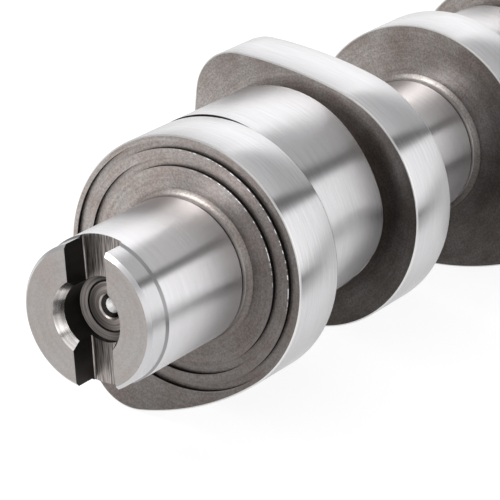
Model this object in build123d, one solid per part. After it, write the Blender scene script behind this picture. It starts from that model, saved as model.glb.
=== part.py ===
from build123d import *
from math import acos, cos, degrees, pi, radians, sin
import os

# Camshaft of a four-cylinder engine with unit injectors: one casting, machined all over.
# Millimetres. Stations are counted along the shaft from its slotted end face.
# Angles are counted anticlockwise from straight up, as seen from the slotted end.
# The shaft runs along +X, slotted end first, and +Z is up as it lies on its lobes.

# Layout
CYLINDER_PITCH = 88.0
CYLINDER_TURNS = (0, 90, 270, 180)      # cam phase of each cylinder, slotted end first
REST_PITCH = 1.36                       # the shaft lies this far down at the belt end

# Journals
JOURNAL_R = 14.45
UNDERCUT_R = 14.1
UNDERCUT_LENGTH = 0.3
FILLET_R = 1.88
FILLET_LENGTH = 1.82
FACE_FOOT_R = 15.5                      # where the fillet meets the lobe's face

# Slotted end
END_BAND_R = 14.1
END_BAND_LENGTH = 4.8
END_CHAMFER = 0.7
BAND_STEP_LENGTH = 0.6
SLOT_ANGLE = 14.9
SLOT_WIDTH = 8.87
SLOT_OFFSET = 0.865                     # the slot runs beside the axis, so it fits one way only
SLOT_DEPTH = 5.75
SLOT_CORNER_R = 0.3
COUNTERSINK_R = 7.5
COUNTERSINK_DEPTH = 2.05
SOCKET_R = 6.4
SOCKET_DEPTH = 7.0
SOCKET_FLOOR_R = 5.1
SOCKET_FLOOR_DEPTH = 7.6
CENTRE_MOUTH_R = 2.7
CENTRE_HOLE_R = 2.15
CENTRE_HOLE_DEPTH = 9.3
CENTRE_TIP_R = 0.8
CENTRE_TIP_DEPTH = 9.5

# Lobes, at the stations of the first cylinder
FIRST_LOBE = 31.62
VALVE_LOBE_LENGTH = 13.2
VALVE_BASE_R = 26.0
EXHAUST = {"nose": 161.4, "peak": 35.1, "nose_r": 10.0, "opening": 65.4}
INTAKE = {"nose": 50.6, "peak": 34.9, "nose_r": 9.9, "opening": 57.6}
FLANK_ARCS = 4
FLANK_CROWN = 0.02                      # a flank is this much fuller in its middle than one arc
RELIEF_LENGTH = 1.0
RELIEF_R = 17.2
INJECTOR_LOBE_LENGTH = 24.25
INJECTOR_BASE_R = 18.1
INJECTOR_TOP_R = 26.0
NECK_LENGTH = 4.8
NECK_R = 17.0
NECK_CONE = 0.7
LOBE_BEVEL = 0.3

# The pump lobe climbs slowly, dwells and drops back fast: (angle, radius) along the climb
CLIMB = ((-131.6, 18.1), (-100, 19.44), (-60, 21.51), (-20, 23.25), (34.4, 26.0))
DWELL_END = 49
TIP_R = 6.0                             # rounds the tip before the straight drop

# Ring grooves in the first lobe's outer face: (inner radius, outer radius)
RING_GROOVES = ((19.84, 21.37), (23.28, 24.80))
RING_GROOVE_DEPTH = 0.8

# Belt end
JOURNAL_CHAMFER = 0.6
SEAT_R = 12.5
SEAT_LENGTH = 26.0
SEAT_CHAMFER = 1.0
BOLT_HOLE_R = 5.1                       # tapping size of M12 x 1.75
BOLT_HOLE_DEPTH = 34.0
KEYWAY_WIDTH = 4.0
KEYWAY_DEPTH = 2.5
KEYWAY_LENGTH = 18.0
KEYWAY_ANGLE = 0

# Worked-out stations
INJECTOR_START = FIRST_LOBE + VALVE_LOBE_LENGTH + RELIEF_LENGTH
INTAKE_START = INJECTOR_START + INJECTOR_LOBE_LENGTH + NECK_LENGTH
INTAKE_END = INTAKE_START + VALVE_LOBE_LENGTH
JOURNAL_SPAN = CYLINDER_PITCH - (INTAKE_END - FIRST_LOBE)           # between cylinders' lobes
LAST_CYLINDER = (len(CYLINDER_TURNS) - 1) * CYLINDER_PITCH
LAST_JOURNAL_END = LAST_CYLINDER + INTAKE_END + JOURNAL_SPAN
SHAFT_LENGTH = LAST_JOURNAL_END + SEAT_LENGTH
MIDDLE_JOURNAL = CYLINDER_PITCH + INTAKE_END + JOURNAL_SPAN / 2     # the origin's station


def across(station):
    """The plane across the shaft at a station: local angles count from up, seen from the slot."""
    return Plane(origin=(station, 0, 0), x_dir=(0, 0, 1), z_dir=(-1, 0, 0))


def polar(radius, angle):
    """A point of a plane across the shaft."""
    return Vector(radius * cos(radians(angle)), radius * sin(radians(angle)))


def turned(profile):
    """The solid of revolution of a closed half-section of (station, radius) edges."""
    return revolve(make_face(profile), Axis.X)


def disc(start, end, radius):
    """A plain cylinder between two stations."""
    half = [(start, 0), (start, radius), (end, radius), (end, 0), (start, 0)]
    return turned(Polyline(*half).edges())


def journal_root(face, towards):
    """Section edges from a lobe's face to the journal: a fillet, a shallow undercut and a sharp edge."""
    foot = (face, FACE_FOOT_R)
    low = (face + towards * FILLET_LENGTH, UNDERCUT_R)
    edge = (low[0] + towards * UNDERCUT_LENGTH, JOURNAL_R)
    middle_angle = 0.5 * FILLET_LENGTH / FILLET_R
    middle = (
        low[0] - towards * FILLET_R * sin(middle_angle),
        UNDERCUT_R + FILLET_R * (1 - cos(middle_angle)),
    )
    return [Spline(foot, middle, low), Line(low, edge)], edge


def journal_between(start, end):
    """A journal between two lobe faces, with a root at each end."""
    left, left_edge = journal_root(start, 1)
    right, right_edge = journal_root(end, -1)
    walls = [Line((start, 0), (start, FACE_FOOT_R)), Line((end, 0), (end, FACE_FOOT_R))]
    rest = [Line(left_edge, right_edge), Line((start, 0), (end, 0))]
    return turned(left + right + walls + rest)


def slot_end_journal():
    """The first journal, with its narrower front band and chamfered end face."""
    root, edge = journal_root(FIRST_LOBE, -1)
    outline = Polyline(
        (FIRST_LOBE, FACE_FOOT_R),
        (FIRST_LOBE, 0),
        (0, 0),
        (0, END_BAND_R - END_CHAMFER),
        (END_CHAMFER, END_BAND_R),
        (END_BAND_LENGTH, END_BAND_R),
        (END_BAND_LENGTH + BAND_STEP_LENGTH, JOURNAL_R),
        edge,
    )
    return turned(root + list(outline.edges()))


def belt_end():
    """The last journal and the plain seat for the belt wheel's hub."""
    start = LAST_CYLINDER + INTAKE_END
    root, edge = journal_root(start, 1)
    outline = Polyline(
        edge,
        (LAST_JOURNAL_END - JOURNAL_CHAMFER, JOURNAL_R),
        (LAST_JOURNAL_END, JOURNAL_R - JOURNAL_CHAMFER),
        (LAST_JOURNAL_END, SEAT_R),
        (SHAFT_LENGTH - SEAT_CHAMFER, SEAT_R),
        (SHAFT_LENGTH, SEAT_R - SEAT_CHAMFER),
        (SHAFT_LENGTH, 0),
        (start, 0),
        (start, FACE_FOOT_R),
    )
    return turned(root + list(outline.edges()))


def neck(start, end):
    """The waist beside a pump lobe, with a small cone against each lobe."""
    outer = NECK_R + NECK_CONE
    outline = Polyline(
        (start, 0),
        (start, outer),
        (start + NECK_CONE, NECK_R),
        (end - NECK_CONE, NECK_R),
        (end, outer),
        (end, 0),
        (start, 0),
    )
    return turned(outline.edges())


def flank(foot, centre, tip):
    """A lobe's flank: tangent arcs from the base circle to the nose, slightly crowned."""
    radius = (foot - centre).length
    sweep = (tip - centre).get_signed_angle(foot - centre)
    nodes = [foot]
    for step in range(1, FLANK_ARCS):
        share = step / FLANK_ARCS
        crown = FLANK_CROWN * sin(pi * share)
        nodes.append(centre + (foot - centre).rotate(Axis.Z, sweep * share) * (1 + crown / radius))
    nodes.append(tip)
    heading = (foot - centre).rotate(Axis.Z, 90 if sweep > 0 else -90)
    arcs = [TangentArc(nodes[0], nodes[1], tangent=heading)]
    for first, last in zip(nodes[1:], nodes[2:]):
        arcs.append(TangentArc(first, last, tangent=arcs[-1] % 1))
    return arcs


def valve_cam(base_r, nose, peak, nose_r, opening):
    """A cam of a base circle, two equal flanks tangent to it, and a round nose."""
    rise = peak - nose_r
    cosine = cos(radians(opening))
    flank_r = (base_r**2 - 2 * rise * cosine * base_r + rise**2 - nose_r**2) / (
        2 * base_r - 2 * rise * cosine - 2 * nose_r
    )
    nose_centre = polar(rise, nose)
    outline = []
    feet = []
    tips = []
    for side in (1, -1):
        foot = polar(base_r, nose + side * opening)
        centre = polar(base_r - flank_r, nose + side * opening)
        tip = centre + (nose_centre - centre).normalized() * flank_r
        outline += flank(foot, centre, tip)
        feet.append(foot)
        tips.append(tip)
    outline.append(ThreePointArc(tips[0], polar(peak, nose), tips[1]))
    outline.append(ThreePointArc(feet[0], polar(base_r, nose + 180), feet[1]))
    return make_face(outline)


def pump_cam(turn):
    """The injector's cam: a slow climb of tangent arcs, a dwell, a fast straight drop and the base."""
    nodes = [polar(radius, angle + turn) for angle, radius in CLIMB]
    start = CLIMB[0][0] + turn
    climb = [TangentArc(nodes[0], nodes[1], tangent=polar(1, start + 90))]
    for first, last in zip(nodes[1:], nodes[2:]):
        climb.append(TangentArc(first, last, tangent=climb[-1] % 1))
    dwell_end = DWELL_END + turn
    swing = degrees(acos((INJECTOR_BASE_R - TIP_R) / (INJECTOR_TOP_R - TIP_R)))
    drop_end = dwell_end + swing
    tip_centre = polar(INJECTOR_TOP_R - TIP_R, dwell_end)
    tip_start = polar(INJECTOR_TOP_R, dwell_end)
    tip_middle = tip_centre + polar(TIP_R, dwell_end + swing / 2)
    tip_end = tip_centre + polar(TIP_R, drop_end)
    base_start = polar(INJECTOR_BASE_R, drop_end)
    dwell_middle = polar(INJECTOR_TOP_R, (CLIMB[-1][0] + turn + dwell_end) / 2)
    base_middle = polar(INJECTOR_BASE_R, (drop_end + start + 360) / 2)
    return make_face(
        climb
        + [
            ThreePointArc(nodes[-1], dwell_middle, tip_start),
            ThreePointArc(tip_start, tip_middle, tip_end),
            Line(tip_end, base_start),
            ThreePointArc(base_start, base_middle, nodes[0]),
        ]
    )


def lobe(profile, start, length):
    """A cam profile between two stations, with a fine bevel round each rim."""
    block = extrude(across(start + length) * profile, length)
    rims = block.edges().filter_by(lambda edge: abs(edge.bounding_box().size.X) < 1e-6)
    return chamfer(rims, LOBE_BEVEL)


def cylinder_group(number):
    """The lobes of one cylinder: exhaust, injector and intake, with the necks between them."""
    shift = number * CYLINDER_PITCH
    turn = CYLINDER_TURNS[number]
    exhaust = valve_cam(VALVE_BASE_R, **(EXHAUST | {"nose": EXHAUST["nose"] + turn}))
    intake = valve_cam(VALVE_BASE_R, **(INTAKE | {"nose": INTAKE["nose"] + turn}))
    injector_end = INJECTOR_START + INJECTOR_LOBE_LENGTH
    return [
        lobe(exhaust, shift + FIRST_LOBE, VALVE_LOBE_LENGTH),
        disc(shift + INJECTOR_START - RELIEF_LENGTH, shift + INJECTOR_START, RELIEF_R),
        lobe(pump_cam(turn), shift + INJECTOR_START, INJECTOR_LOBE_LENGTH),
        neck(shift + injector_end, shift + INTAKE_START),
        lobe(intake, shift + INTAKE_START, VALVE_LOBE_LENGTH),
    ]


def ring_grooves():
    """The two rings turned into the first lobe's outer face."""
    rings = []
    for inner, outer in RING_GROOVES:
        start, end = FIRST_LOBE - 1, FIRST_LOBE + RING_GROOVE_DEPTH
        rings.append(disc(start, end, outer) - disc(start - 1, end + 1, inner))
    return rings


def drive_slot():
    """The tongue slot across the end face, beside the axis, with rounded floor corners."""
    reach = 2 * JOURNAL_R
    section = Plane.XY * Pos(SLOT_DEPTH / 2 - 1, 0) * Rectangle(SLOT_DEPTH + 2, SLOT_WIDTH)
    floor_corners = section.vertices().sort_by(Axis.X)[-2:]
    section = fillet(floor_corners, SLOT_CORNER_R)
    bar = extrude(section, reach, both=True)
    return Rot(-SLOT_ANGLE, 0, 0) * Pos(0, -SLOT_OFFSET, 0) * bar


def centre_socket():
    """The countersunk socket in the end face, with a shallow lathe centre in its floor."""
    mouth_depth = CENTRE_MOUTH_R - CENTRE_HOLE_R
    outline = Polyline(
        (-1, 0),
        (-1, COUNTERSINK_R),
        (0, COUNTERSINK_R),
        (COUNTERSINK_DEPTH, SOCKET_R),
        (SOCKET_DEPTH, SOCKET_R),
        (SOCKET_FLOOR_DEPTH, SOCKET_FLOOR_R),
        (SOCKET_FLOOR_DEPTH, CENTRE_MOUTH_R),
        (SOCKET_FLOOR_DEPTH + mouth_depth, CENTRE_HOLE_R),
        (CENTRE_HOLE_DEPTH, CENTRE_TIP_R),
        (CENTRE_TIP_DEPTH, 0),
        (-1, 0),
    )
    return turned(outline.edges())


def bolt_hole():
    """The blind tapped hole for the belt wheel's bolt."""
    drill = Rot(0, 90, 0) * Cylinder(BOLT_HOLE_R, BOLT_HOLE_DEPTH + 1)
    return Pos(SHAFT_LENGTH - BOLT_HOLE_DEPTH / 2 + 0.5, 0, 0) * drill


def keyway():
    """The keyway of the belt wheel's hub, open at the shaft's end."""
    middle = SHAFT_LENGTH - KEYWAY_LENGTH / 2
    block = Pos(middle + 1, 0, SEAT_R) * Box(KEYWAY_LENGTH + 2, KEYWAY_WIDTH, 2 * KEYWAY_DEPTH)
    return Rot(-KEYWAY_ANGLE, 0, 0) * block


def camshaft():
    """The whole shaft, with its middle journal's centre at the origin, as it lies."""
    pieces = [slot_end_journal(), belt_end()]
    for number in range(len(CYLINDER_TURNS)):
        pieces += cylinder_group(number)
    for number in range(len(CYLINDER_TURNS) - 1):
        start = number * CYLINDER_PITCH + INTAKE_END
        pieces.append(journal_between(start, start + JOURNAL_SPAN))
    body = pieces[0].fuse(*pieces[1:])
    body = body.cut(*ring_grooves(), drive_slot(), centre_socket(), bolt_hole(), keyway())
    return Rot(0, REST_PITCH, 0) * Pos(-MIDDLE_JOURNAL, 0, 0) * body


os.makedirs("parts", exist_ok=True)
shaft = camshaft()
shaft.label = "camshaft"
export_step(shaft, "parts/camshaft.step")
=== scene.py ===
from math import acos, atan2, cos, degrees, pi, radians, sin

import bmesh
import bpy
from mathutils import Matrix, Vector


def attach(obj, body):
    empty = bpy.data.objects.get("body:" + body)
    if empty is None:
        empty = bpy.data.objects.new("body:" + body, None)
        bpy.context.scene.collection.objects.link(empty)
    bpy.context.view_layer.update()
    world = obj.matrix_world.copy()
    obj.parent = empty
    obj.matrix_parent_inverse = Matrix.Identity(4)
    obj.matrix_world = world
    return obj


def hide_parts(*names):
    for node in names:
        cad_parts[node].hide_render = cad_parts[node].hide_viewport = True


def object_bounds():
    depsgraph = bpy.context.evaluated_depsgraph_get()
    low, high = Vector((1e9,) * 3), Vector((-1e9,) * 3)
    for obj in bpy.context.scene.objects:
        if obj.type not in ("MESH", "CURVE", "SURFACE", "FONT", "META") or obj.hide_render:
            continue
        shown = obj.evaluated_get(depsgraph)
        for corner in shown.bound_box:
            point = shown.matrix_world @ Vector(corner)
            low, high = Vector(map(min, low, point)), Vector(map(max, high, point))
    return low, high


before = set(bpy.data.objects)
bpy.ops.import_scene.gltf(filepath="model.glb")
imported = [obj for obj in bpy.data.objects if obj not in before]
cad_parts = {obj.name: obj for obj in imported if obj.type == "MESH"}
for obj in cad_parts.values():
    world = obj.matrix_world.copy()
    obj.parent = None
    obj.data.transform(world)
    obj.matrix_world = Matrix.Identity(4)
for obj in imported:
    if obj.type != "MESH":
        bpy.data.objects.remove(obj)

cad_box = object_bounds()

# One mesh of rings makes the camshaft. Stations are counted in millimetres along the shaft from its
# slotted end face, and angles in degrees anticlockwise from up, as seen from that end.
MM = 0.001
RAYS = 360                              # points round each ring of the shaft
REST_PITCH = 1.36                       # the shaft lies this far down at the belt end
MIDDLE_JOURNAL = 191.845                # the origin's station

# ---------------------------------------------------------------- the shaft's sizes, in millimetres
CYLINDER_PITCH = 88.0
CYLINDER_TURNS = (0, 90, 270, 180)      # cam phase of each cylinder, slotted end first

# Journals
JOURNAL_R = 14.45
UNDERCUT_R = 14.1
UNDERCUT_LENGTH = 0.3
FILLET_R = 1.88
FILLET_LENGTH = 1.82
FILLET_STEPS = 8
FACE_FOOT_R = 15.5                      # where the fillet meets the lobe's face

# Slotted end
END_BAND_R = 14.1
END_BAND_LENGTH = 4.8
END_CHAMFER = 0.7
BAND_STEP_LENGTH = 0.6
SLOT_ANGLE = 14.9
SLOT_WIDTH = 8.87
SLOT_OFFSET = 0.865                     # the slot runs beside the axis
SLOT_DEPTH = 5.75
SLOT_CORNER_R = 0.3
COUNTERSINK_R = 7.5
COUNTERSINK_DEPTH = 2.05
SOCKET_R = 6.4
SOCKET_DEPTH = 7.0
SOCKET_FLOOR_R = 5.1
SOCKET_LIP_R = 4.7
SOCKET_FLOOR_DEPTH = 7.6
CENTRE_RINGS = (                        # the lathe centre, shallower than in the solid
    (8.5, 0, "centre_tip"),
    (8.45, 1.0, "centre_tip"),
    (8.3, 1.5, "centre_tip"),
    # near-black painted shade on the centre hole's wall
    (7.85, 2.3, "centre_wall_painted_shade"),
    (SOCKET_FLOOR_DEPTH, 2.6, "centre_rim"),
)

# Lobes, at the stations of the first cylinder
FIRST_LOBE = 31.62
VALVE_LOBE_LENGTH = 13.2
RELIEF_R = 17.2
RELIEF_LENGTH = 1.0
INJECTOR_LOBE_LENGTH = 24.25
GAP_EXTRA = 1.4                         # the groove before the injector lobe, wider than in the solid
NECK_LENGTH = 4.8
NECK_R = 17.0
NECK_CONE = 0.7
BEVEL = 0.3
BEVEL_BEND = 0.3                        # where the rounded bevel bends, as a share of it
GAP_BEVEL = 0.1
RING_GROOVES = ((19.84, 21.37), (23.28, 24.80))     # (inner, outer radius) in the first lobe's face
RING_GROOVE_DEPTH = 0.8
GROOVE_EDGE = 0.2                       # width of the face's band inside each groove that carries painted glints

# Cam profiles: (angle of the nose, radius at the nose, radius of the nose, half opening)
VALVE_BASE_R = 26.0
EXHAUST = (161.4, 35.1, 10.0, 65.4)
INTAKE = (50.6, 34.9, 9.9, 57.6)
INJECTOR_BASE_R = 18.1
INJECTOR_TOP_R = 26.0
# The pump lobe climbs slowly, dwells and drops back fast: (angle, radius) along the climb
CLIMB = ((-131.6, 18.1), (-100, 19.44), (-60, 21.51), (-20, 23.25), (34.4, 26.0))
DWELL_END = 49
TIP_R = 6.0                             # rounds the tip before the straight drop

# Points along each part of a profile, close enough to read a radius for every ray
FLANK_STEPS = 400
NOSE_STEPS = 400
BASE_STEPS = 800
CLIMB_STEPS = 300                       # for each of its arcs
DWELL_STEPS = 100
TIP_STEPS = 200
DROP_STEPS = 200
PUMP_BASE_STEPS = 500

# Belt end
JOURNAL_CHAMFER = 0.6
SEAT_R = 12.5
SEAT_LENGTH = 26.0
SEAT_CHAMFER = 1.0
BOLT_HOLE_R = 5.1
BOLT_HOLE_DEPTH = 34.0
KEYWAY_WIDTH = 4.0
KEYWAY_DEPTH = 2.5
KEYWAY_LENGTH = 18.0

# Worked-out stations
INJECTOR_START = FIRST_LOBE + VALVE_LOBE_LENGTH + RELIEF_LENGTH
INTAKE_START = INJECTOR_START + INJECTOR_LOBE_LENGTH + NECK_LENGTH
INTAKE_END = INTAKE_START + VALVE_LOBE_LENGTH
JOURNAL_SPAN = CYLINDER_PITCH - (INTAKE_END - FIRST_LOBE)
LAST_CYLINDER = (len(CYLINDER_TURNS) - 1) * CYLINDER_PITCH
LAST_JOURNAL_END = LAST_CYLINDER + INTAKE_END + JOURNAL_SPAN
SHAFT_LENGTH = LAST_JOURNAL_END + SEAT_LENGTH


# ---------------------------------------------------------------- cam profiles
def polar(radius, angle):
    """A point across the shaft."""
    return Vector((radius * cos(radians(angle)), radius * sin(radians(angle))))


def arc_points(centre, start, end, steps):
    """Points of an arc anticlockwise round centre, from start up to but not including end."""
    first = atan2(*(start - centre).yx)
    sweep = (atan2(*(end - centre).yx) - first) % (2 * pi)
    radius = (start - centre).length
    return [
        centre + Vector((cos(first + sweep * i / steps), sin(first + sweep * i / steps))) * radius
        for i in range(steps)
    ]


def valve_profile(nose, peak, nose_r, opening):
    """Points of a cam of a base circle, two equal flanks tangent to it, and a round nose.

    A flank is one plain arc here, without the 0.02 mm of crown that the solid's has.
    """
    rise = peak - nose_r
    cosine = cos(radians(opening))
    base = VALVE_BASE_R
    flank_r = (base**2 - 2 * rise * cosine * base + rise**2 - nose_r**2) / (
        2 * base - 2 * rise * cosine - 2 * nose_r
    )
    nose_centre = polar(rise, nose)
    feet, tips, centres = [], [], []
    for side in (-1, 1):
        foot = polar(base, nose + side * opening)
        centre = polar(base - flank_r, nose + side * opening)
        feet.append(foot)
        centres.append(centre)
        tips.append(centre + (nose_centre - centre).normalized() * flank_r)
    return (
        arc_points(centres[0], feet[0], tips[0], FLANK_STEPS)
        + arc_points(nose_centre, tips[0], tips[1], NOSE_STEPS)
        + arc_points(centres[1], tips[1], feet[1], FLANK_STEPS)
        + arc_points(Vector((0, 0)), feet[1], feet[0], BASE_STEPS)
    )


def pump_profile():
    """Points of the injector's cam: a climb of tangent arcs, a dwell, a straight drop, the base."""
    nodes = [polar(radius, angle) for angle, radius in CLIMB]
    heading = polar(1, CLIMB[0][0] + 90)
    points = []
    for first, last in zip(nodes, nodes[1:]):
        chord = last - first
        normal = Vector((-heading.y, heading.x))
        radius = chord.length_squared / (2 * chord.dot(normal))
        centre = first + normal * radius
        points += arc_points(centre, first, last, CLIMB_STEPS)
        heading = Vector((-(last - centre).y, (last - centre).x)).normalized()
    swing = degrees(acos((INJECTOR_BASE_R - TIP_R) / (INJECTOR_TOP_R - TIP_R)))
    drop_end = DWELL_END + swing
    tip_centre = polar(INJECTOR_TOP_R - TIP_R, DWELL_END)
    tip_start = polar(INJECTOR_TOP_R, DWELL_END)
    tip_end = tip_centre + polar(TIP_R, drop_end)
    base_start = polar(INJECTOR_BASE_R, drop_end)
    points += arc_points(Vector((0, 0)), nodes[-1], tip_start, DWELL_STEPS)
    points += arc_points(tip_centre, tip_start, tip_end, TIP_STEPS)
    points += [tip_end.lerp(base_start, i / DROP_STEPS) for i in range(DROP_STEPS)]
    points += arc_points(Vector((0, 0)), base_start, nodes[0], PUMP_BASE_STEPS)
    return points


def radii(points, inset, turn):
    """The profile, moved inwards by inset and turned, as one radius for each ray."""
    count = len(points)
    samples = []
    for i, point in enumerate(points):
        ahead = points[(i + 1) % count] - points[i - 1]
        inward = Vector((-ahead.y, ahead.x)).normalized()
        moved = point + inward * inset
        samples.append((degrees(atan2(moved.y, moved.x)) % 360, moved.length))
    samples.sort()
    before, after = samples[-1], samples[0]
    samples = [(before[0] - 360, before[1])] + samples + [(after[0] + 360, after[1])]
    result = []
    at = 0
    for ray in range(RAYS):
        angle = ray * 360 / RAYS
        while samples[at + 1][0] < angle:
            at += 1
        low, high = samples[at], samples[at + 1]
        share = (angle - low[0]) / max(high[0] - low[0], 1e-9)
        result.append(low[1] + (high[1] - low[1]) * share)
    shift = round(turn * RAYS / 360)
    return [result[(ray - shift) % RAYS] for ray in range(RAYS)]


# ---------------------------------------------------------------- the stack of rings
rings = []                              # (station, radius or radii)
bands = []                              # finish of the band that ends at each ring


def ring(station, radius, finish):
    rings.append((station, radius))
    bands.append(finish)


def fillet(face, towards):
    """Rings of the fillet beside a lobe's face, from the undercut up to the face."""
    span = FILLET_LENGTH / FILLET_R
    result = []
    for i in range(FILLET_STEPS + 1):
        angle = span * i / FILLET_STEPS
        distance = FILLET_R * sin(angle)
        height = FILLET_R * (1 - cos(angle))
        result.append((face + towards * (FILLET_LENGTH - distance), UNDERCUT_R + height))
    return result


def root_into(face, finish="face"):
    """A journal's end before a lobe's face: undercut, fillet, foot of the face.

    The fillet's finish goes from near-black painted shade in the undercut to that of the face.
    """
    ring(face - FILLET_LENGTH - UNDERCUT_LENGTH, JOURNAL_R, "journal")
    ring(face - FILLET_LENGTH, UNDERCUT_R, "step")
    for index, (station, radius) in enumerate(fillet(face, -1)[1:]):
        ring(station, radius, "step" if index < 2 else "fillet" if index < 5 else finish)
    ring(face, FACE_FOOT_R, finish)


def root_out(face):
    """The same on the far side of a lobe."""
    ring(face, FACE_FOOT_R, "face")
    # near-black painted shade in the undercut and the fillet's foot
    for index, (station, radius) in enumerate(reversed(fillet(face, 1))):
        ring(station, radius, "face" if index < 4 else "fillet" if index < 7 else "step")
    ring(face + FILLET_LENGTH + UNDERCUT_LENGTH, JOURNAL_R, "step")


def lobe_rings(profile, turn, start, length, face="face", tight=False, rear="bevel"):
    """A lobe with a rounded rim each side, a tight one at the front close behind another lobe.

    face and rear are the finishes of its front face and of its rear rim.
    """
    outer = radii(profile, 0, turn)
    inner = radii(profile, BEVEL, turn)
    middle = radii(profile, BEVEL * BEVEL_BEND, turn)
    if tight:
        ring(start, radii(profile, GAP_BEVEL, turn), face)
        # the tight rim is near-black painted shade
        ring(start + GAP_BEVEL, outer, "gap")
    else:
        ring(start, inner, face)
        ring(start + BEVEL * BEVEL_BEND, middle, "bevel")
        ring(start + BEVEL, outer, "bevel")
    ring(start + length - BEVEL, outer, "track")
    ring(start + length - BEVEL * BEVEL_BEND, middle, rear)
    ring(start + length, inner, rear)


def slotted_end_rings():
    """From the bottom of the lathe centre out of the socket and on to the first lobe's face."""
    for station, radius, finish in CENTRE_RINGS:
        ring(station, radius, finish)
    ring(SOCKET_FLOOR_DEPTH, SOCKET_LIP_R, "socket_floor")
    # near-black painted shade on the socket's walls
    ring(SOCKET_FLOOR_DEPTH, SOCKET_FLOOR_R, "socket_wall_painted_shade")
    ring(SOCKET_DEPTH, SOCKET_R, "socket_ring")
    ring(COUNTERSINK_DEPTH, SOCKET_R, "socket_wall_painted_shade")
    ring(0, COUNTERSINK_R, "countersink")
    ring(0, END_BAND_R - END_CHAMFER, "end_face")
    ring(END_CHAMFER, END_BAND_R, "chamfer")
    ring(END_BAND_LENGTH, END_BAND_R, "band")
    ring(END_BAND_LENGTH + BAND_STEP_LENGTH, JOURNAL_R, "band_step")
    root_into(FIRST_LOBE, "front_face")
    for inner, outer in RING_GROOVES:
        ring(FIRST_LOBE, inner - GROOVE_EDGE, "front_face")
        ring(FIRST_LOBE, inner, "groove_edge")
        # near-black painted shade on each groove's walls
        ring(FIRST_LOBE + RING_GROOVE_DEPTH, inner, "groove_wall_painted_shade")
        ring(FIRST_LOBE + RING_GROOVE_DEPTH, outer, "front_face")
        ring(FIRST_LOBE, outer, "groove_wall_painted_shade")


def cylinder_rings(number, turn):
    """One cylinder's lobes, and the journal behind them up to the next cylinder's first face."""
    shift = number * CYLINDER_PITCH
    # the first cylinder's injector front face is near-black painted shade, the others have the faces'
    # finish
    front, gap_face = ("front_face", "gap") if number == 0 else ("face", "face")
    injector = shift + INJECTOR_START + GAP_EXTRA
    injector_length = INJECTOR_LOBE_LENGTH - GAP_EXTRA
    # the exhaust lobe's rear rim is near-black painted shade
    lobe_rings(exhaust, turn, shift + FIRST_LOBE, VALVE_LOBE_LENGTH, front, rear="gap")
    ring(shift + INJECTOR_START - RELIEF_LENGTH, RELIEF_R, "face")
    # the relief before the injector lobe is near-black painted shade
    ring(injector, RELIEF_R, "gap")
    lobe_rings(pump, turn, injector, injector_length, gap_face, tight=True)
    ring(shift + INTAKE_START - NECK_LENGTH, NECK_R + NECK_CONE, "face")
    ring(shift + INTAKE_START - NECK_LENGTH + NECK_CONE, NECK_R, "neck")
    ring(shift + INTAKE_START - NECK_CONE, NECK_R, "neck")
    ring(shift + INTAKE_START, NECK_R + NECK_CONE, "neck")
    lobe_rings(intake, turn, shift + INTAKE_START, VALVE_LOBE_LENGTH)
    root_out(shift + INTAKE_END)
    if number < len(CYLINDER_TURNS) - 1:
        root_into(shift + CYLINDER_PITCH + FIRST_LOBE)


def belt_end_rings():
    """The last journal's end, the belt wheel's seat and the bolt hole."""
    ring(LAST_JOURNAL_END - JOURNAL_CHAMFER, JOURNAL_R, "journal")
    ring(LAST_JOURNAL_END, JOURNAL_R - JOURNAL_CHAMFER, "chamfer")
    ring(LAST_JOURNAL_END, SEAT_R, "end_face")
    ring(SHAFT_LENGTH - SEAT_CHAMFER, SEAT_R, "band")
    ring(SHAFT_LENGTH, SEAT_R - SEAT_CHAMFER, "chamfer")
    ring(SHAFT_LENGTH, BOLT_HOLE_R, "end_face")
    # near-black painted shade inside the bolt hole
    ring(SHAFT_LENGTH - BOLT_HOLE_DEPTH, BOLT_HOLE_R, "socket_wall_painted_shade")
    ring(SHAFT_LENGTH - BOLT_HOLE_DEPTH, 0, "socket_wall_painted_shade")


exhaust = valve_profile(*EXHAUST)
intake = valve_profile(*INTAKE)
pump = pump_profile()
slotted_end_rings()
for number, turn in enumerate(CYLINDER_TURNS):
    cylinder_rings(number, turn)
belt_end_rings()

PITCH = radians(REST_PITCH)


def placed(x, y, z):
    """A point of the shaft, in millimetres along and round its axis, as it lies."""
    x -= MIDDLE_JOURNAL
    return Vector((
        (x * cos(PITCH) + z * sin(PITCH)) * MM,
        y * MM,
        (z * cos(PITCH) - x * sin(PITCH)) * MM,
    ))


def point(station, radius, ray):
    """The point of a ring on one ray, counted anticlockwise from up."""
    angle = ray * 2 * pi / RAYS
    return placed(station, radius * sin(angle), radius * cos(angle))


def shaft_mesh():
    """The skin over all rings, each band with its finish."""
    mesh = bmesh.new()
    rows = []
    for station, radius in rings:
        if radius == 0:
            rows.append([mesh.verts.new(point(station, 0, 0))])
        else:
            each = radius if isinstance(radius, list) else [radius] * RAYS
            rows.append([mesh.verts.new(point(station, each[ray], ray)) for ray in range(RAYS)])
    for row, (low, high) in enumerate(zip(rows, rows[1:])):
        finish = FINISHES.index(bands[row + 1])
        for ray in range(RAYS):
            after = (ray + 1) % RAYS
            if len(low) == 1:
                corners = (low[0], high[ray], high[after])
            elif len(high) == 1:
                corners = (low[ray], high[0], low[after])
            else:
                corners = (low[ray], high[ray], high[after], low[after])
            mesh.faces.new(corners).material_index = finish
    bmesh.ops.recalc_face_normals(mesh, faces=mesh.faces)
    data = bpy.data.meshes.new("camshaft_body")
    mesh.to_mesh(data)
    mesh.free()
    return data


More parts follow.
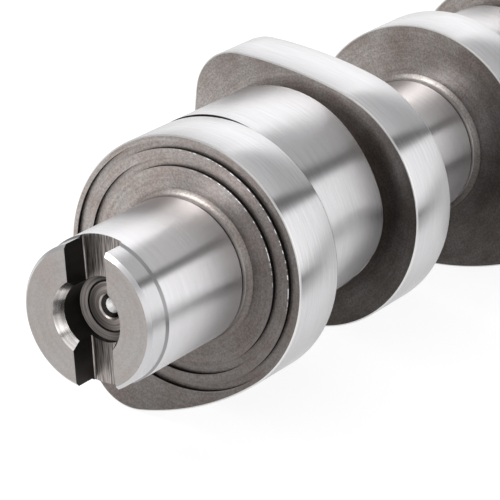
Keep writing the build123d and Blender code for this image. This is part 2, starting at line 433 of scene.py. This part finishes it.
# ---------------------------------------------------------------- materials
GROUND_TINT = (0.015, 0.02)             # extra share of red and of blue
BUMP_DEPTH = 0.00005
ALONG_TURNED = 0.03                     # scale along a tool mark, as a share of that across it
ALONG_MILLED = 0.06
STREAKS = (0.32, 0.68)                  # noise values between which a mark goes from dark to light
CLOUDS = (0.3, 0.7)
GLINT_NOISE_RANGE = (0.5, 0.57)
GLINT_GREY = 0.95
GLINT_REACH = (12 * MM, 19 * MM)        # painted glints fade in this far to the upper right of the axis
UPPER_LEFT = (0.8, 0.6)                 # shares of Y and of Z, as seen from the slotted end
UPPER_RIGHT = (-0.6, 0.8)
SHADE_REACH = 18 * MM                   # painted shading runs this far to each side of the axis
# painted shade at the lower right and painted light at the upper left of the first lobe's front face
FRONT_SHADE = (0.5, 1.2)
PAINTED_SHADE_MIDDLE = -0.6 * MM                 # height in the middle of the countersink's painted shade
# painted light on the countersink fades in across these distances from that middle height
PAINTED_LIGHT_REACH = (2 * MM, 4.5 * MM)


class Nodes:
    """Short calls for building a node tree."""

    def __init__(self, tree):
        self.tree = tree
        tree.nodes.clear()

    def add(self, kind, inputs=None, **settings):
        node = self.tree.nodes.new(kind)
        for key, value in settings.items():
            setattr(node, key, value)
        for key, value in (inputs or {}).items():
            self.set(node.inputs[key], value)
        return node

    def set(self, socket, value):
        if isinstance(value, bpy.types.NodeSocket):
            self.tree.links.new(value, socket)
        else:
            socket.default_value = value

    def math(self, operation, a, b=0.0):
        return self.add("ShaderNodeMath", {0: a, 1: b}, operation=operation).outputs[0]

    def weighted(self, first, share, second, other_share):
        """The sum of two values, each times its share."""
        parts = self.math("MULTIPLY", first, share), self.math("MULTIPLY", second, other_share)
        return self.math("ADD", *parts)

    def smooth(self, value, low, high, start=0.0, end=1.0):
        """A soft step from start to end as value goes from low to high."""
        node = self.add(
            "ShaderNodeMapRange",
            {0: value, 1: low, 2: high, 3: start, 4: end},
            interpolation_type="SMOOTHSTEP",
        )
        return node.outputs[0]

    def mix(self, share, a, b):
        node = self.add("ShaderNodeMix", {0: share, 6: a, 7: b}, data_type="RGBA")
        return node.outputs[2]

    def cross(self, a, b):
        return self.add("ShaderNodeVectorMath", {0: a, 1: b}, operation="CROSS_PRODUCT").outputs[0]

    def times(self, colour, factor):
        inputs = {0: 1.0, 6: colour, 7: factor}
        return self.add("ShaderNodeMix", inputs, data_type="RGBA", blend_type="MULTIPLY").outputs[2]

    def noise(self, vector, scale, detail, roughness):
        inputs = {"Vector": vector, "Scale": scale, "Detail": detail, "Roughness": roughness}
        return self.add("ShaderNodeTexNoise", inputs).outputs[0]


def grey(value, warm=0.0):
    """A grey of this linear value: ground steel is faintly violet, cast and turned faces are warm."""
    red, blue = (warm, -0.5 * warm) if warm else GROUND_TINT
    return (value * (1 + red), value, value * (1 + blue), 1.0)


def plain(value):
    """A factor that keeps the hue."""
    return (value, value, value, 1.0)


def mark_place(n, x, y, z, lay, scale):
    """Where a finish's tool marks are looked up: fine across them and drawn out along them."""
    if lay == "milled":
        turn = radians(SLOT_ANGLE)
        across = n.weighted(y, cos(turn), z, -sin(turn))
        along = n.weighted(y, sin(turn), z, cos(turn))
        parts = (n.math("MULTIPLY", across, scale), n.math("MULTIPLY", along, scale * ALONG_MILLED), 0.0)
    else:
        if lay == "faced":
            squares = n.math("ADD", n.math("MULTIPLY", y, y), n.math("MULTIPLY", z, z))
            x = n.math("SQRT", squares)
        parts = [n.math("MULTIPLY", x, scale)]
        parts += [n.math("MULTIPLY", value, scale * ALONG_TURNED) for value in (y, z)]
    return n.add("ShaderNodeCombineXYZ", dict(enumerate(parts))).outputs[0]


def finish_material(
    name, base, warm, roughness, lay="turned", aniso=0.0,
    grain=None, lines=None, mottle=None, painted_glints=None, shade=None, ends=None,
):
    """Machined cast iron of this grey, warmth and roughness.

    lay says how the tool marks run: "turned" round the shaft, "faced" in circles on a face, or
    "milled" along the slot. grain and lines are (scale, bump, share of the colour), mottle is
    (scale, share), and specks is the scale of painted glints, bright dashes painted into the
    colour. shade and ends are painted shade and painted light in the colour: factors at the lower
    right and the upper left of a face, and factors at the axis's height and away from it.
    """
    material = bpy.data.materials.new(name)
    material.use_nodes = True
    n = Nodes(material.node_tree)
    out = n.add("ShaderNodeOutputMaterial")
    shader = n.add(
        "ShaderNodeBsdfPrincipled",
        {"Metallic": 1.0, "Anisotropic": aniso, "Roughness": roughness},
    )
    n.tree.links.new(shader.outputs[0], out.inputs[0])
    place = n.add("ShaderNodeTexCoord").outputs["Object"]
    place = n.add("ShaderNodeMapping", {"Vector": place, "Rotation": (0, -PITCH, 0)}).outputs[0]
    x, y, z = n.add("ShaderNodeSeparateXYZ", {0: place}).outputs
    if aniso:
        # grinding marks run round the shaft, and spread the highlight along it
        geometry = n.add("ShaderNodeNewGeometry").outputs
        axis = (cos(PITCH), 0, -sin(PITCH))
        round_shaft = n.cross(axis, geometry["Position"])
        tangent = n.cross(round_shaft, geometry["Normal"])
        unit = n.add("ShaderNodeVectorMath", {0: tangent}, operation="NORMALIZE")
        n.set(shader.inputs["Tangent"], unit.outputs[0])
    colour = grey(base, warm)
    heights = []
    if lines:
        scale, bump, share = lines
        streak = n.noise(mark_place(n, x, y, z, lay, scale), 1.0, 3.0, 0.6)
        band = n.smooth(streak, *STREAKS)
        colour = n.mix(band, grey(base * (1 - share), warm), grey(base * (1 + share), warm))
        heights.append((streak, bump))
    if mottle:
        scale, share = mottle
        cloud = n.smooth(n.noise(place, scale, 4.0, 0.65), *CLOUDS)
        tone = n.mix(cloud, grey(1 - share, warm * 0.5), grey(1 + share, -warm * 0.3))
        colour = n.times(colour, tone)
    if grain:
        scale, bump, share = grain
        sand = n.noise(place, scale, 2.0, 0.7)
        colour = n.times(colour, n.mix(n.smooth(sand, *CLOUDS), plain(1 - share), plain(1 + share)))
        heights.append((sand, bump))
    if shade:
        # painted shade towards the lower right and painted light towards the upper left
        height = n.weighted(y, UPPER_LEFT[0], z, UPPER_LEFT[1])
        share = n.smooth(height, -SHADE_REACH, SHADE_REACH)
        colour = n.times(colour, n.mix(share, plain(shade[0]), plain(shade[1])))
    if ends:
        # painted shade at the axis's height and painted light away from it
        share = n.smooth(n.math("ABSOLUTE", n.math("SUBTRACT", z, PAINTED_SHADE_MIDDLE)), *PAINTED_LIGHT_REACH)
        colour = n.times(colour, n.mix(share, plain(ends[0]), plain(ends[1])))
    if painted_glints:
        # painted glints: bright dashes, only towards the upper right of the axis
        dots = n.smooth(n.noise(place, painted_glints, 1.0, 0.5), *GLINT_NOISE_RANGE)
        height = n.weighted(y, UPPER_RIGHT[0], z, UPPER_RIGHT[1])
        share = n.math("MULTIPLY", dots, n.smooth(height, *GLINT_REACH))
        colour = n.mix(share, colour, grey(GLINT_GREY))
    n.set(shader.inputs["Base Color"], colour)
    normal = None
    for height, strength in heights:
        bump = n.add("ShaderNodeBump", {"Strength": strength, "Distance": BUMP_DEPTH, "Height": height})
        if normal:
            n.set(bump.inputs["Normal"], normal)
        normal = bump.outputs[0]
    if normal:
        n.set(shader.inputs["Normal"], normal)
    return material


# The near-black finishes paint the shadow that the photo has inside the slot, socket, grooves, gaps
# and undercuts. The order is that of the mesh's material slots.
finishes = {
    "journal": finish_material("ground_journal", 0.78, 0.0, 0.25, aniso=1.0, lines=(3000, 0.012, 0.03)),
    "step": finish_material("undercut_painted_shade", 0.06, 0.05, 0.4),
    "fillet": finish_material("turned_fillet", 0.29, 0.06, 0.4, grain=(1500, 0.1, 0.1)),
    # painted shade: a darker copy of the front face's finish, with painted shade at the lower right and
    # painted light at the upper left
    "face": finish_material(
        "lobe_face_painted_shading", 0.15, 0.11, 0.4, "faced",
        grain=(2600, 0.45, 0.22), lines=(1500, 0.1, 0.1), mottle=(120, 0.2), shade=(0.48, 2.1),
    ),
    # painted shade at the lower right and painted light at the upper left
    "front_face": finish_material(
        "front_face", 0.3, 0.11, 0.42, "faced",
        grain=(2600, 0.45, 0.2), lines=(1600, 0.15, 0.1), mottle=(150, 0.1), shade=FRONT_SHADE,
    ),
    "groove_wall_painted_shade": finish_material("groove_wall_painted_shade", 0.02, 0.1, 0.6),
    # painted glints, with painted shade and painted light, on the band beside each groove
    "groove_edge": finish_material(
        "groove_edge_painted_glints", 0.3, 0.11, 0.42, painted_glints=1500, shade=FRONT_SHADE,
    ),
    "bevel": finish_material("bright_bevel", 0.75, 0.01, 0.3),
    "track": finish_material("ground_track", 0.64, 0.0, 0.22, aniso=1.0, lines=(4500, 0.05, 0.05)),
    "neck": finish_material("turned_neck", 0.4, 0.1, 0.5, grain=(2000, 0.4, 0.2)),
    "gap": finish_material("lobe_gap_painted_shade", 0.04, 0.1, 0.5),
    "socket_wall_painted_shade": finish_material("socket_wall_painted_shade", 0.03, 0.1, 0.5, "faced", lines=(3000, 0.1, 0.3)),
    "socket_ring": finish_material("socket_ring", 0.2, 0.1, 0.35, "faced", lines=(3500, 0.3, 0.3)),
    "socket_floor": finish_material("socket_floor", 0.3, 0.12, 0.4, "faced", lines=(2500, 0.3, 0.35)),
    "centre_rim": finish_material("centre_rim", 0.45, 0.1, 0.35),
    "centre_wall_painted_shade": finish_material("centre_wall_painted_shade", 0.03, 0.1, 0.3),
    "centre_tip": finish_material("centre_tip", 0.8, 0.02, 0.35, mottle=(900, 0.3)),
    # painted shade at the axis's height and painted light above and below it
    "countersink": finish_material(
        "countersink", 0.6, 0.05, 0.2, "faced", lines=(3000, 0.15, 0.2), ends=(0.7, 1.5),
    ),
    "end_face": finish_material(
        "turned_end_face", 0.375, 0.07, 0.45, "faced",
        grain=(3500, 0.3, 0.08), lines=(1400, 0.1, 0.04), mottle=(120, 0.04),
    ),
    "chamfer": finish_material("bright_chamfer", 0.58, 0.0, 0.3),
    "band": finish_material("turned_band", 0.68, 0.0, 0.26, aniso=1.0, lines=(9000, 0.02, 0.04)),
    "band_step": finish_material("band_step", 0.3, 0.0, 0.3),
    "slot_floor": finish_material("slot_floor", 0.3, 0.1, 0.35, "milled", lines=(2600, 0.5, 0.65)),
    "slot_wall_painted_shade": finish_material("slot_wall_painted_shade", 0.035, 0.1, 0.45, "milled", lines=(2600, 0.2, 0.3)),
}
FINISHES = list(finishes)


# ---------------------------------------------------------------- the body and its cuts
FLOOR_REACH = 0.2                       # sides whose corners are this near the floor get its finish
OVERCUT = 2                             # how far a cutter stands out of the end face
SLOT_REACH = 30
CORNER_STEPS = 4
KEY_BAR_REACH = 5                       # half the height of the keyway's cutter
SHARP_ANGLE = 24


def cutter(name, corners, reach, turn, floor_at=0.0):
    """A bar across the shaft, turned about its axis, with a section of (station, side) corners.

    Sides at the station floor_at get the finish of the slot's floor, and the others the near-black
    painted shade of its walls.
    """
    mesh = bmesh.new()
    ends = []
    for along in (-reach, reach):
        row = []
        for station, side in corners:
            y = side * cos(radians(turn)) + along * sin(radians(turn))
            z = along * cos(radians(turn)) - side * sin(radians(turn))
            row.append(mesh.verts.new(placed(station, y, z)))
        ends.append(row)
    count = len(corners)
    mesh.faces.new(ends[0])
    mesh.faces.new(reversed(ends[1]))
    for i in range(count):
        after = (i + 1) % count
        face = mesh.faces.new((ends[0][i], ends[1][i], ends[1][after], ends[0][after]))
        flat = all(abs(corners[at][0] - floor_at) < FLOOR_REACH for at in (i, after))
        # walls get near-black painted shade
        face.material_index = FINISHES.index("slot_floor" if flat else "slot_wall_painted_shade")
    bmesh.ops.recalc_face_normals(mesh, faces=mesh.faces)
    data = bpy.data.meshes.new(name)
    mesh.to_mesh(data)
    mesh.free()
    for finish in FINISHES:
        data.materials.append(finishes[finish])
    bar = bpy.data.objects.new(name, data)
    bpy.context.scene.collection.objects.link(bar)
    return bar


body = bpy.data.objects.new("camshaft_body", shaft_mesh())
bpy.context.scene.collection.objects.link(body)
for finish in FINISHES:
    body.data.materials.append(finishes[finish])

half = SLOT_WIDTH / 2
section = [(-OVERCUT, -SLOT_OFFSET - half), (-OVERCUT, -SLOT_OFFSET + half)]
for side in (1, -1):
    for step in range(CORNER_STEPS + 1):
        angle = pi / 2 * (step if side > 0 else CORNER_STEPS - step) / CORNER_STEPS
        section.append((
            SLOT_DEPTH - SLOT_CORNER_R + SLOT_CORNER_R * sin(angle),
            -SLOT_OFFSET + side * (half - SLOT_CORNER_R + SLOT_CORNER_R * cos(angle)),
        ))
slot_bar = cutter("slot_bar", section, SLOT_REACH, SLOT_ANGLE, SLOT_DEPTH)
key_start, key_end, key_half = SHAFT_LENGTH - KEYWAY_LENGTH, SHAFT_LENGTH + OVERCUT, KEYWAY_WIDTH / 2
key_section = [(key_start, -key_half), (key_end, -key_half), (key_end, key_half), (key_start, key_half)]
key_bar = cutter("key_bar", key_section, KEY_BAR_REACH, 0)
# straight up as the shaft lies, so that the bar's underside is the keyway's floor
for vert in key_bar.data.vertices:
    vert.co.z += (SEAT_R - KEYWAY_DEPTH + KEY_BAR_REACH) * MM

for bar in (slot_bar, key_bar):
    cut = body.modifiers.new(bar.name, "BOOLEAN")
    cut.operation = "DIFFERENCE"
    cut.solver = "EXACT"
    cut.object = bar
bpy.context.view_layer.update()
cut_mesh = bpy.data.meshes.new_from_object(body.evaluated_get(bpy.context.evaluated_depsgraph_get()))
body.modifiers.clear()
body.data = cut_mesh
for bar in (slot_bar, key_bar):
    bpy.data.objects.remove(bar)
cut_mesh.name = "camshaft_body"
for polygon in cut_mesh.polygons:
    polygon.use_smooth = True
cut_mesh.set_sharp_from_angle(angle=radians(SHARP_ANGLE))
bpy.context.view_layer.update()
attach(body, "root")
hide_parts("camshaft")

# ---------------------------------------------------------------- camera
# solved from the ellipses that the shaft's circles make in the photo
camera_data = bpy.data.cameras.new("camera")
camera_data.lens = 215.39
camera_data.sensor_width = 36.0
camera_data.clip_end = 20.0
camera = bpy.data.objects.new("camera", camera_data)
camera.location = (-0.591837, -0.256903, 0.261422)
camera.rotation_euler = (1.1012115, -0.1352514, -0.989133)
bpy.context.scene.collection.objects.link(camera)
bpy.context.scene.camera = camera

# ---------------------------------------------------------------- floor
FLOOR_R = 0.42
FLOOR_GREY = 0.4
FLOOR_GLOW = (0.12, 0.58)               # on the side towards -Y and on the rest, for reflections
FLOOR_GLOW_CHANGE = (-0.17, -0.12)      # the span of Y across which it changes
FLOOR_GREY_SEEN = 0.35                  # as the camera sees it
FLOOR_GLOW_SEEN = 0.785
floor_mesh = bmesh.new()
bmesh.ops.create_circle(floor_mesh, cap_ends=True, radius=FLOOR_R, segments=128)
floor_data = bpy.data.meshes.new("floor")
floor_mesh.to_mesh(floor_data)
floor_mesh.free()
floor = bpy.data.objects.new("floor", floor_data)
floor.location = (0, 0, cad_box[0][2])
bpy.context.scene.collection.objects.link(floor)


def floor_material():
    """A floor that takes the shadow: pale to the camera, and a darker one for all other rays."""
    material = bpy.data.materials.new("floor")
    material.use_nodes = True
    n = Nodes(material.node_tree)
    out = n.add("ShaderNodeOutputMaterial")
    seen = n.add("ShaderNodeLightPath").outputs["Is Camera Ray"]
    spot = n.add("ShaderNodeNewGeometry").outputs["Position"]
    side = n.add("ShaderNodeSeparateXYZ", {0: spot}).outputs[1]
    unseen_glow = n.smooth(side, *FLOOR_GLOW_CHANGE, *FLOOR_GLOW)
    both = []
    for albedo, strength in ((FLOOR_GREY, unseen_glow), (FLOOR_GREY_SEEN, FLOOR_GLOW_SEEN)):
        diffuse = n.add("ShaderNodeBsdfDiffuse", {"Color": (albedo, albedo, albedo, 1.0)})
        glow = n.add("ShaderNodeEmission", {"Color": (1, 1, 1, 1), "Strength": strength})
        both.append(n.add("ShaderNodeAddShader", {0: diffuse.outputs[0], 1: glow.outputs[0]}).outputs[0])
    pick = n.add("ShaderNodeMixShader", {0: seen, 1: both[0], 2: both[1]})
    n.tree.links.new(pick.outputs[0], out.inputs[0])
    return material


floor_data.materials.append(floor_material())

# ---------------------------------------------------------------- studio
# The strips were set to give the photo's bright and dark lines on the journals. They stand in
# for the photo's real surroundings, and reflections show them and not the white background.
BASE_LIGHT = 0.5
ALL_ALONG = 100
# Each strip: from and to, in degrees round the shaft from straight up towards +Y, the softness of
# these two edges, how far it leans towards the belt end, in degrees, the softness there, and its
# strength. A strip covers those before it.
STRIPS = (
    (-33, 13, 3, 3, 40, 12, 0.8),
    (16, 100, 3, 3, ALL_ALONG, 8, 1.5),
    (16, 100, 3, 3, 38, 8, 0.55),
    (-89, -47, 8, 4, ALL_ALONG, 8, 1.15),
    (-89, -47, 8, 4, 35, 15, 1.35),
    (-43, -34, 4, 3, ALL_ALONG, 8, 0.2),
    (-104, -97, 2, 2, ALL_ALONG, 8, 0.12),
    (-107, -95, 2, 2, 46, 8, 0.0),
    (-110, -92, 2, 3, 30, 10, 0.0),
)


def studio_world():
    """A world that is white to the camera, and strips of light and dark to all other rays."""
    world = bpy.data.worlds.new("studio")
    world.use_nodes = True
    n = Nodes(world.node_tree)
    out = n.add("ShaderNodeOutputWorld")
    direction = n.add("ShaderNodeTexCoord").outputs["Generated"]
    x, y, z = n.add("ShaderNodeSeparateXYZ", {0: direction}).outputs
    turn = n.math("MULTIPLY", n.math("ARCTAN2", y, z), 180 / pi)
    lean = n.math("MULTIPLY", n.math("ARCSINE", x), 180 / pi)
    light = BASE_LIGHT
    for low, high, soft_low, soft_high, far, soft_far, strength in STRIPS:
        first = n.smooth(turn, low - soft_low, low + soft_low)
        last = n.smooth(turn, high - soft_high, high + soft_high, 1.0, 0.0)
        end = n.smooth(lean, far - soft_far, far + soft_far, 1.0, 0.0)
        patch = n.math("MULTIPLY", n.math("MULTIPLY", first, last), end)
        blend = {0: patch, 2: light, 3: strength}
        light = n.add("ShaderNodeMix", blend, data_type="FLOAT").outputs[0]
    studio = n.add("ShaderNodeBackground", {"Color": (1, 1, 1, 1), "Strength": light})
    white = n.add("ShaderNodeBackground", {"Color": (1, 1, 1, 1), "Strength": 1.0})
    seen = n.add("ShaderNodeLightPath").outputs["Is Camera Ray"]
    pick = n.add("ShaderNodeMixShader", {0: seen, 1: studio.outputs[0], 2: white.outputs[0]})
    n.tree.links.new(pick.outputs[0], out.inputs[0])
    return world


bpy.context.scene.world = studio_world()

LAMP_HEIGHT = radians(45)               # above the level
LAMP_TURN = radians(150)                # anticlockwise from +X, seen from above
LAMP_DISTANCE = 0.9
lamp_data = bpy.data.lights.new("soft_lamp", "AREA")
lamp_data.shape = "DISK"
lamp_data.size = 0.45
lamp_data.energy = 4.0
lamp = bpy.data.objects.new("soft_lamp", lamp_data)
lamp_direction = Vector((
    cos(LAMP_HEIGHT) * cos(LAMP_TURN),
    cos(LAMP_HEIGHT) * sin(LAMP_TURN),
    sin(LAMP_HEIGHT),
))
lamp.location = lamp_direction * LAMP_DISTANCE
lamp.rotation_euler = lamp_direction.to_track_quat("Z", "Y").to_euler()
bpy.context.scene.collection.objects.link(lamp)

bpy.context.scene.view_settings.view_transform = "Standard"
